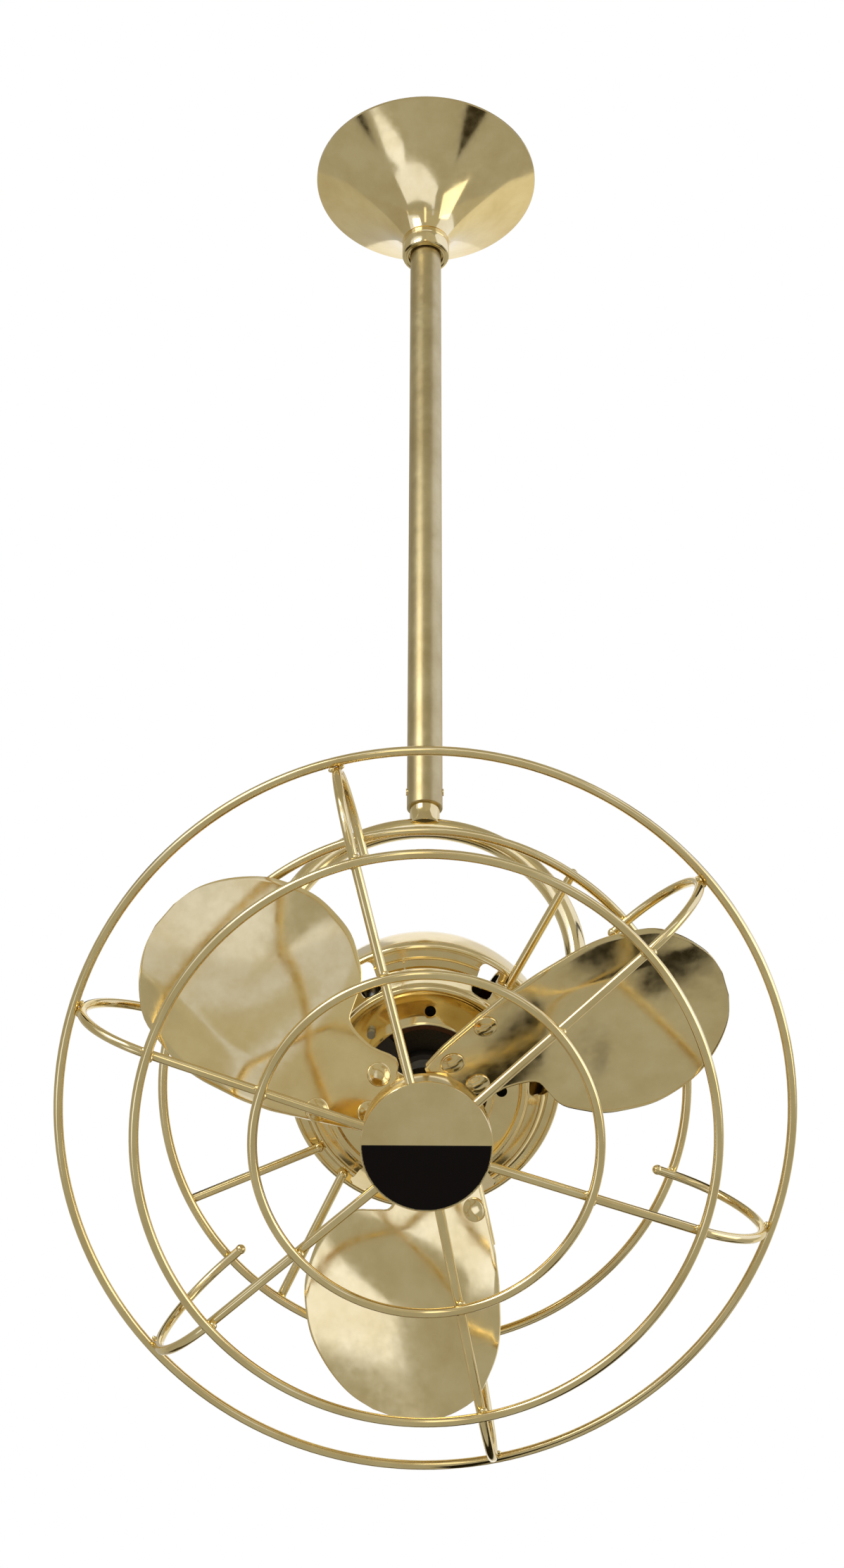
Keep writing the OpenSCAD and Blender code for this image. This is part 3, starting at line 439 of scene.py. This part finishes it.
def bead(radius, place, squash=(1, 1, 1)):
    """A small weld bead, a little uneven."""
    bpy.ops.mesh.primitive_ico_sphere_add(subdivisions=3, radius=radius * MM,
                                          location=[c * MM for c in place])
    drop = bpy.context.object
    bpy.ops.object.mode_set(mode="EDIT")
    bpy.ops.mesh.select_all(action="SELECT")
    bpy.ops.transform.resize(value=squash, center_override=[c * MM for c in place])
    bpy.ops.object.mode_set(mode="OBJECT")
    return drop


for ring_name, ring_r, ring_s in (("back_ring", back_ring_r, back_ring_s),
                                  ("outer_ring", outer_ring_r, outer_ring_s),
                                  ("middle_front_ring", middle_ring_r, middle_ring_s),
                                  ("inner_front_ring", inner_ring_r, on_spoke(inner_ring_r))):
    ring = drawn([(ring_r * math.cos(2 * math.pi * k / ring_steps),
                   ring_r * math.sin(2 * math.pi * k / ring_steps), ring_s)
                  for k in range(ring_steps)], wire_r, ring=True)
    finished(ring, "wire_" + ring_name, brass, "head", [ring_name], place=head_place, smooth=60)

hoop_start, hoop_gap, hoop_lean = 41.5, 60, (0, 3, 1.2, 0, 0, 0)
hoop_from, hoop_to, spoke_steps, bend_steps = medallion_r - 0.6, hoop_mid_r + 3.3, 9, 40
hoop_end_r, hoop_end_s = hoop_mid_r - 7, hoop_mid_s - hoop_half
outer_weld_r, outer_weld_at, front_weld_r = 1.5, hoop_mid_r + hoop_half + 1.3, 1.7
for k, lean in enumerate(hoop_lean):
    path = []
    for step in range(spoke_steps):
        radius = hoop_from + (hoop_to - hoop_from) * step / spoke_steps
        path.append((radius, 0, spoke_s(radius)))
    for step in range(bend_steps + 1):
        a = math.radians(90) - spoke_fall - (math.pi - spoke_fall) * step / bend_steps
        path.append((hoop_mid_r + hoop_half * math.cos(a), 0,
                     hoop_mid_s + hoop_half * math.sin(a)))
    path.append((hoop_end_r, 0, hoop_end_s))
    parts = [drawn(path, wire_r),
             bead(end_bead_r, (hoop_end_r, 0, hoop_end_s)),
             bead(outer_weld_r, (outer_weld_at, 1.7, hoop_mid_s + 1.5), (0.8, 1.3, 0.7)),
             bead(outer_weld_r, (outer_weld_at, -1.7, hoop_mid_s - 1.5), (0.8, 1.3, 0.7)),
             bead(outer_weld_r, (back_ring_r - 1.6, 0.6, back_ring_s + 2.2), (1.2, 1.5, 0.6))]
    for ring_r in (middle_ring_r, inner_ring_r):
        s = spoke_s(ring_r) + wire_r
        parts.append(bead(front_weld_r, (ring_r - 1.7, 1.2, s), (0.9, 1.1, 0.8)))
        parts.append(bead(front_weld_r, (ring_r + 1.7, -1.2, s), (0.9, 1.1, 0.8)))
    turn = Matrix.Rotation(math.radians(hoop_start + hoop_gap * k + lean), 4, "Z")
    finished(joined(parts), f"bent_hoop_{k + 1}", brass, "head", [f"hoop_{k + 1}"],
             place=head_place @ turn, smooth=60)

# ---- Struts ----
# Four straight wires from the shoulder of the motor housing to the back of the cage, in two
# splayed pairs, with a bead of weld at each end.
foot_r, foot_s, foot_splay, top_splay, strut_steps = 61.4, 36.45, 8.3, 15, 8
for number, (middle, side) in enumerate(((hoop_start, -1), (hoop_start, 1),
                                         (hoop_start + 180, -1), (hoop_start + 180, 1)), 1):
    low = math.radians(middle + side * foot_splay)
    high = math.radians(middle + side * top_splay)
    foot = (foot_r * math.cos(low), foot_r * math.sin(low), foot_s)
    top = (back_ring_r * math.cos(high), back_ring_r * math.sin(high),
           back_ring_s - 2 * wire_r - 0.28)
    path = [tuple(a + (b - a) * t / strut_steps for a, b in zip(foot, top))
            for t in range(strut_steps + 1)]
    strut = joined([drawn(path, wire_r), bead(end_bead_r, top), bead(end_bead_r, foot)])
    finished(strut, f"straight_strut_{number}", brass, "head", [f"strut_{number}"],
             place=head_place, smooth=60)

# ---- Medallion ----
# A shallow pressed cup closes the front of the cage. Its face is polished brass above and
# glossy black enamel below, with a thin brass rim left round the enamel.
medallion_front, medallion_back, split_y = 147.8, 131.8, 0.9
cup_in_r, lip_in_r, enamel_r, enamel_deep, half_side = 27.7, 27.0, 28.3, 1.2, 80
cup = turned([(cup_in_r, medallion_back), (28.6, medallion_back),
              (medallion_r, medallion_back + 0.5), (medallion_r, medallion_front - 2.6),
              (29.05, medallion_front - 2.1), (28.4, medallion_front - 1.7),
              (lip_in_r, medallion_front - 1.65), (lip_in_r, medallion_front - 2.0),
              (cup_in_r, medallion_front - 2.8), (cup_in_r, medallion_back)], closed=True)
finished(cup, "pressed_cup", brass, "head", ["medallion_cup"], place=head_place)

face = turned([(28.4, medallion_front - 1.6), (medallion_r, medallion_front - 1.5),
               (medallion_r, medallion_front - 0.5), (28.9, medallion_front - 0.12),
               (28.5, medallion_front), (28, medallion_front), (20, medallion_front),
               (10, medallion_front)], 128)
bpy.ops.mesh.primitive_cube_add(
    size=1, location=(0, (split_y - half_side / 2) * MM, medallion_front * MM),
    scale=(half_side * MM, half_side * MM, enamel_deep * MM))
recess = bpy.context.object
bpy.ops.mesh.primitive_cylinder_add(vertices=128, radius=enamel_r * MM,
                                    depth=enamel_deep * MM,
                                    location=(0, 0, medallion_front * MM))
disc = bpy.context.object
modify(recess, "BOOLEAN", object=disc, operation="INTERSECT", solver="EXACT")
bpy.data.objects.remove(disc)
modify(face, "BOOLEAN", object=recess, operation="DIFFERENCE", solver="EXACT")
finished(face, "medallion_plate", brass, "head", ["medallion_face"], place=head_place)
bpy.data.objects.remove(recess)

# ---- Motor housing ----
# Two pressed brass shells meet behind the tilt axis. The front one is a drum whose flat rim
# steps in to a shoulder and a cover, with a round opening, six rounded vents and three
# eyelets. A clamp band with one seam lies round the shoulder.
rear_shell = turned([(13, -28), (13, -20), (17, -20), (17, -28.4), (44.4, -28.4), (52, -25.4),
                     (58.6, -19.6), (61.6, -14), (62.4, -12), (64, -12), (63.9, -12.6),
                     (63.5, -12.9), (63.7, -13.3), (63.2, -14.6), (61.9, -17.4), (60, -20.5),
                     (56.8, -24.1), (53, -27), (49.6, -28.9), (46.6, -29.8), (45, -30),
                     (32, -30), (31.5, -29.6), (30.5, -29.6), (30, -30)], 128)
front_shell = turned([(62.4, -12), (64, -12), (64.9, -8.8), (65.5, -6), (66.1, -3), (66.5, 0),
                      (66.85, 3), (67, 6), (67, 16), (67, 27.2), (66.85, 28.4), (66.4, 29.3),
                      (65.6, 30), (64.7, 30.35), (64.4, 30.1), (64.1, 30.45), (62.6, 30.7),
                      (61, 30.8), (60.4, 30.9), (59.8, 31.3), (59.7, 32.6), (57.0, 38.9),
                      (56.4, 39.6), (55.8, 39.9), (55.2, 40.3), (51.4, 43.3), (50.4, 43.9),
                      (49.9, 44.4), (49.6, 45.2), (49.3, 46.1), (48.8, 46.8), (48, 47.2),
                      (46.9, 47.2), (46.1, 46.9), (45.2, 46.6), (41, 46.5), (36, 46.5),
                      (32, 46.6), (31.3, 46.9), (30.7, 47.2), (30.3, 47), (30.3, 45),
                      (44.8, 45), (47.6, 45.4), (48.4, 44.2), (50.2, 42), (55, 38.4),
                      (56, 38), (58.5, 32), (58.7, 29.2), (64, 28.7), (65.4, 27.2), (65.4, 6),
                      (64.9, 0), (63.9, -6), (62.4, -12)], 128, closed=True)
clamp_band = turned([(59.3, 32), (60.3, 31.9), (60.7, 32.2), (60.7, 32.9), (58.1, 38.9),
                     (57.6, 39.5), (57, 39.4), (56.7, 38.8), (59.3, 32)], 128, closed=True)


def rounded_block(size, centre, corner):
    """A block with rounded edges, all in mm."""
    bpy.ops.mesh.primitive_cube_add(size=1, location=[c * MM for c in centre])
    block = bpy.context.object
    block.scale = [s * MM for s in size]
    only(block)
    bpy.ops.object.transform_apply(location=False, rotation=False, scale=True)
    return modify(block, "BEVEL", width=corner * MM, segments=4, limit_method="ANGLE")


vents, vent_first, vent_gap = [], -0.5, 60
for k in range(6):
    for cut in (rounded_block((13.6, 10.4, 30), (57.2, 0, 39.8), 2.6),
                rounded_block((60, 22, 16), (71.5, 0, -27), 3)):
        vents.append(turned_to(cut, vent_first + vent_gap * k))
vents = joined(vents)
for shell in (rear_shell, front_shell, clamp_band):
    modify(shell, "BOOLEAN", object=vents, operation="DIFFERENCE", solver="EXACT")
bpy.data.objects.remove(vents)

eyelet_angles, bolt_angles = (86.4, -3.6, 176.4), (134.4, 14.4, -105.6)
bolt_r, cover_s, eyelet_hole_r, bolt_hole_r, band_seam_angle = 37, 47.2, 2.7, 2.1, 100.2
eyelet_bore_r, boss_bore_r, boss_r, boss_in, boss_out = 2.65, 4, 10, 57, 70.6
holes = []
for angles, radius in ((eyelet_angles, eyelet_hole_r), (bolt_angles, bolt_hole_r)):
    for angle in angles:
        bpy.ops.mesh.primitive_cylinder_add(vertices=32, radius=radius * MM, depth=12 * MM,
                                            location=(bolt_r * MM, 0, 45 * MM))
        holes.append(turned_to(bpy.context.object, angle))
holes = joined(holes)
modify(front_shell, "BOOLEAN", object=holes, operation="DIFFERENCE", solver="EXACT")
bpy.data.objects.remove(holes)
band_cut = turned_to(rounded_block((12, 0.9, 12), (58.7, 0, 35.5), 0.2), band_seam_angle)
modify(clamp_band, "BOOLEAN", object=band_cut, operation="DIFFERENCE", solver="EXACT")
bpy.data.objects.remove(band_cut)

front_parts = [front_shell, clamp_band]
for angle in eyelet_angles:
    eyelet = turned([(eyelet_bore_r, -2.4), (4.2, -2.4), (4.5, -0.6), (4.35, 0.7), (3.9, 1.3),
                     (3.3, 1.4), (2.8, 1.0), (eyelet_bore_r, 0.4), (eyelet_bore_r, -2.4)], 40,
                    closed=True)
    eyelet.location = (bolt_r * MM, 0, cover_s * MM)
    front_parts.append(turned_to(eyelet, angle))
for side in (-1, 1):
    boss = turned([(boss_bore_r, boss_in), (boss_r, boss_in), (boss_r, boss_out - 0.8),
                   (boss_r - 0.8, boss_out), (boss_bore_r, boss_out), (boss_bore_r, boss_in)],
                  48, closed=True)
    boss.matrix_world = Matrix.Rotation(math.radians(side * 90), 4, "Y")
    front_parts.append(boss)
bpy.context.view_layer.update()
finished(joined(front_parts), "pressed_front_shell", brass, "head", ["front_housing"],
         place=head_place, smooth=32)
finished(rear_shell, "pressed_rear_shell", brass, "head", ["rear_housing"],
         place=head_place, smooth=32)

# ---- Through bolts and nuts ----
# Three long plated screws clamp the shells. Each ends in a brass washer and a brass hexagon
# nut on the cover, with the screw's end standing out of it.
nuts, nut_bore_r = [], 2.05
for angle in bolt_angles:
    washer = turned([(nut_bore_r, -0.6), (4.6, -0.6), (4.8, -0.3), (4.7, 0.2),
                     (nut_bore_r, 0.3), (nut_bore_r, -0.6)], 40, closed=True)
    nut = turned([(nut_bore_r, 0.3), (3.6, 0.3), (3.75, 0.5), (3.75, 2.9), (3.3, 3.3),
                  (nut_bore_r, 3.3), (nut_bore_r, 0.3)], 6, closed=True)
    for part in (washer, nut):
        part.location = (bolt_r * MM, 0, cover_s * MM)
        nuts.append(turned_to(part, angle))
finished(joined(nuts), "hexagon_nuts", brass, "head", ["through_bolt_nuts"], place=head_place,
         smooth=25)

# ---- Hub, blades and rivets ----
# Each blade is pressed from sheet brass: a flat root that turns through a soft crease into a
# wide hollow paddle. Three domed rivets hold it to an arm of the cast hub.
blade_s, blade_first, blade_gap, blade_count, blade_t = 79.5, 18.6, 120, 3, 1.5
root_angle, tip_angle, flat_r, blade_tip_r = 27.7, 20.3, 58, 150
hollow_deep, hollow_run, hollow_middle, hollow_half = 3, 40, -10, 50
blade_rows, blade_columns = 61, 33
blade_plan = [(6, 19, 22), (16, 9, 29), (23, -7, 33), (38, -4, 41), (52, -6, 48.5),
              (56, -14, 50.5), (60, -25, 52), (68, -32.5, 55), (78, -39, 57.5), (90, -41.5, 60),
              (102, -41.5, 60.5), (114, -38, 58.5), (126, -32, 55), (136, -23, 47),
              (143, -14, 38), (147.5, -5, 29), (150, 6, 19)]
rivet_places = [(26.5, 4), (19, 21), (39, 36)]
blade_turns = [Matrix.Rotation(math.radians(blade_first + blade_gap * number), 4, "Z")
               for number in range(blade_count)]


def ease(u):
    """Goes from 0 to 1 smoothly, as pressed sheet does at a crease."""
    u = max(0, min(1, u))
    return u * u * (3 - 2 * u)


def smooth_plan(u):
    """A row of the outline at u from 0 to 1, on a curve through the plan's rows."""
    f = u * (len(blade_plan) - 1)
    i = min(int(f), len(blade_plan) - 2)
    t = f - i
    rows = [blade_plan[max(0, min(len(blade_plan) - 1, i + d))] for d in (-1, 0, 1, 2)]
    return [0.5 * (2 * b + (c - a) * t + (2 * a - 5 * b + 4 * c - d) * t * t
                   + (3 * b - a - 3 * c + d) * t ** 3) for a, b, c, d in zip(*rows)]


def blade_sheet(radius, across):
    """A point of the pressed sheet, in mm, in the blade's own frame."""
    angle = math.radians(root_angle + (tip_angle - root_angle)
                         * ease((radius - flat_r) / (blade_tip_r - flat_r)))
    w = max(-1, min(1, (across - hollow_middle) / hollow_half))
    dip = -hollow_deep * ease((radius - flat_r) / hollow_run) * (1 - w * w)
    return Vector((radius, across * math.cos(angle) - dip * math.sin(angle),
                   blade_s + across * math.sin(angle) + dip * math.cos(angle)))


for number, turn in enumerate(blade_turns, 1):
    bpy.ops.mesh.primitive_grid_add(x_subdivisions=blade_rows - 1,
                                    y_subdivisions=blade_columns - 1, size=1)
    blade = bpy.context.object
    for vertex in blade.data.vertices:
        radius, lead, trail = smooth_plan(vertex.co.x + 0.5)
        across = lead + (trail - lead) * (vertex.co.y + 0.5)
        vertex.co = blade_sheet(radius, across) * MM
    modify(blade, "SOLIDIFY", thickness=blade_t * MM, offset=1)
    modify(blade, "BEVEL", width=0.35 * MM, segments=2, limit_method="ANGLE",
           angle_limit=math.radians(60))
    finished(blade, f"pressed_blade_{number}", brass, "rotor", [f"blade_{number}"],
             place=head_place @ turn, smooth=40)

rivets = []
blade_roots = [turn @ Matrix.Translation((0, 0, blade_s * MM))
               @ Matrix.Rotation(math.radians(root_angle), 4, "X") for turn in blade_turns]
for root in blade_roots:
    for out, across in rivet_places:
        rivet = turned([(2.5, -4.7), (3.7, -4.6), (3.7, -3.6), (2.5, -3.1), (2.5, 1.45),
                        (5.3, 1.45), (5.6, 1.6), (5.65, 1.95), (5.4, 2.25), (4.9, 2.3),
                        (4.5, 2.35), (3.4, 2.62), (2.2, 2.8), (0.8, 2.88)], 40)
        rivet.matrix_world = root @ Matrix.Translation((out * MM, across * MM, 0))
        rivets.append(rivet)
finished(joined(rivets), "domed_rivets", brass, "rotor", ["blade_rivets"], place=head_place,
         smooth=50)

hub_bore_r, hub_back, hub_front, hub_r, arm_t, arm_gap = 4.05, 66, 92, 16, 3, 0.05
hub_parts = [turned([(hub_bore_r, hub_back), (13.4, hub_back), (14, hub_back + 0.6), (14, 69),
                     (15.4, 70.4), (hub_r, 71.5), (hub_r, hub_front - 1.4),
                     (hub_r - 0.8, hub_front - 0.4), (14.2, hub_front), (7.4, hub_front),
                     (hub_bore_r, hub_front), (hub_bore_r, hub_back)], closed=True)]
arm_plan = [(8, -6), (30, -2), (36, 8), (48, 34), (53, 48.5), (38, 40.9), (23, 32.9),
            (16, 28.9), (6.5, 22.2)]
for root in blade_roots:
    bpy.ops.mesh.primitive_circle_add(vertices=len(arm_plan), radius=0.01, fill_type="NGON")
    arm = bpy.context.object
    for vertex, (out, across) in zip(arm.data.vertices, arm_plan):
        vertex.co = (out * MM, across * MM, (-arm_t - arm_gap) * MM)
    only(arm)
    bpy.ops.object.mode_set(mode="EDIT")
    bpy.ops.mesh.select_all(action="SELECT")
    bpy.ops.mesh.extrude_region_move(TRANSFORM_OT_translate={"value": (0, 0, arm_t * MM)})
    bpy.ops.mesh.select_all(action="SELECT")
    bpy.ops.mesh.normals_make_consistent(inside=False)
    bpy.ops.object.mode_set(mode="OBJECT")
    modify(arm, "BEVEL", width=0.8 * MM, segments=3, limit_method="ANGLE")
    arm.matrix_world = root
    hub_parts.append(arm)
finished(joined(hub_parts), "cast_hub", brass, "rotor", ["blade_hub"], place=head_place,
         smooth=32)

# ---- Enamel, plated steel and the parts inside ----
# These pieces keep the shapes of their solids and get their real finishes: the medallion's
# enamel, and the bought and stamped parts in the canopy, the joints and the motor.
def plain_finish(name, light, dark, metallic, rough, grain_mm, bump_mm=0.0, shine=0.5):
    """A finish of two tones in a fine noise whose grain is about grain_mm across."""
    material, t = new_material(name)
    where = add_node(t, "ShaderNodeTexCoord").outputs["Object"]
    grain = add_node(t, "ShaderNodeTexNoise", {"Vector": where, "Scale": 1000 / grain_mm,
                                               "Detail": 4})
    colour = add_node(t, "ShaderNodeMix", {"Factor": grain.outputs[0]}, data_type="RGBA")
    colour.inputs[6].default_value = linear(light)
    colour.inputs[7].default_value = linear(dark)
    roughness = add_node(t, "ShaderNodeMapRange", {"Value": grain.outputs[0],
                                                   "To Min": rough * 0.8, "To Max": rough * 1.3})
    bump = add_node(t, "ShaderNodeBump", {"Strength": 0.5, "Distance": bump_mm * MM,
                                          "Height": grain.outputs[0]})
    shader = add_node(t, "ShaderNodeBsdfPrincipled", {
        "Base Color": colour.outputs[2], "Metallic": metallic,
        "Roughness": roughness.outputs[0], "Normal": bump.outputs[0],
        "Specular IOR Level": shine})
    add_node(t, "ShaderNodeOutputMaterial", {"Surface": shader.outputs[0]})
    return material


# Enamel stoved on brass is near black and so smooth that only lamps show in it.
enamel = plain_finish("stoved_black_enamel", "#080301", "#0e0703", 0.0, 0.12, 6, 0.02, 0.12)
# Zinc plate is a bright grey, a little mottled.
zinc = plain_finish("zinc_plated_steel", "#b9bcc0", "#8e9296", 1.0, 0.32, 2, 0.02)
# Painted cast iron is brown-black, with the sand's grain under the paint.
iron = plain_finish("black_painted_iron", "#17130f", "#2a231c", 0.0, 0.45, 1.2, 0.08)
# Stamped core steel is a dull dark grey with some metal shine.
core_steel = plain_finish("stamped_core_steel", "#4b453c", "#2e2a25", 0.8, 0.45, 0.8, 0.05)
# Baked varnish turns copper wire to a dark red-brown, half shiny.
copper = plain_finish("varnished_copper", "#5e3216", "#341a0a", 0.35, 0.35, 1.0, 0.15)
# Moulded plastic is even and softly shiny, ivory here, and near black on the next one.
plastic = plain_finish("moulded_plastic", "#ded8c6", "#cfc8b4", 0.0, 0.4, 1.5, 0.02)
dark_plastic = plain_finish("moulded_dark_plastic", "#26272a", "#1c1d20", 0.0, 0.4, 1.5, 0.02)
# Rubber is dull and black, and woven friction fibre is rough, matt and tan.
rubber = plain_finish("moulded_rubber", "#1b1b1b", "#262524", 0.0, 0.7, 0.8, 0.05)
fibre = plain_finish("woven_friction_fibre", "#6b5b3d", "#4d412b", 0.0, 0.8, 0.6, 0.1)
# The leads' soft insulation is off-white with hardly any shine.
insulation = plain_finish("lead_insulation", "#e9e5da", "#d8d2c2", 0.0, 0.5, 2, 0.01)
for material, names in (
        (zinc, ("ceiling_bracket", "hanger_bolt", "hanger_nut", "spring_washers",
                "through_bolts", "motor_spacers", "front_bearing", "rear_bearing",
                "motor_shaft")),
        (brass, ("collar_screw", "stem_screws", "tilt_bolts", "hub_nut")),
        (iron, ("bearing_bridge",)), (core_steel, ("stator_core", "rotor_core")),
        (copper, ("stator_windings",)), (plastic, ("terminal_block",)),
        (dark_plastic, ("run_capacitor",)), (rubber, ("hanger_bushes",)),
        (fibre, ("friction_washers",)), (insulation, ("supply_leads",)),
        (enamel, ("medallion_enamel",))):
    for node_name in names:
        node = frame["nodes"][node_name]
        node.data.materials.clear()
        node.data.materials.append(material)
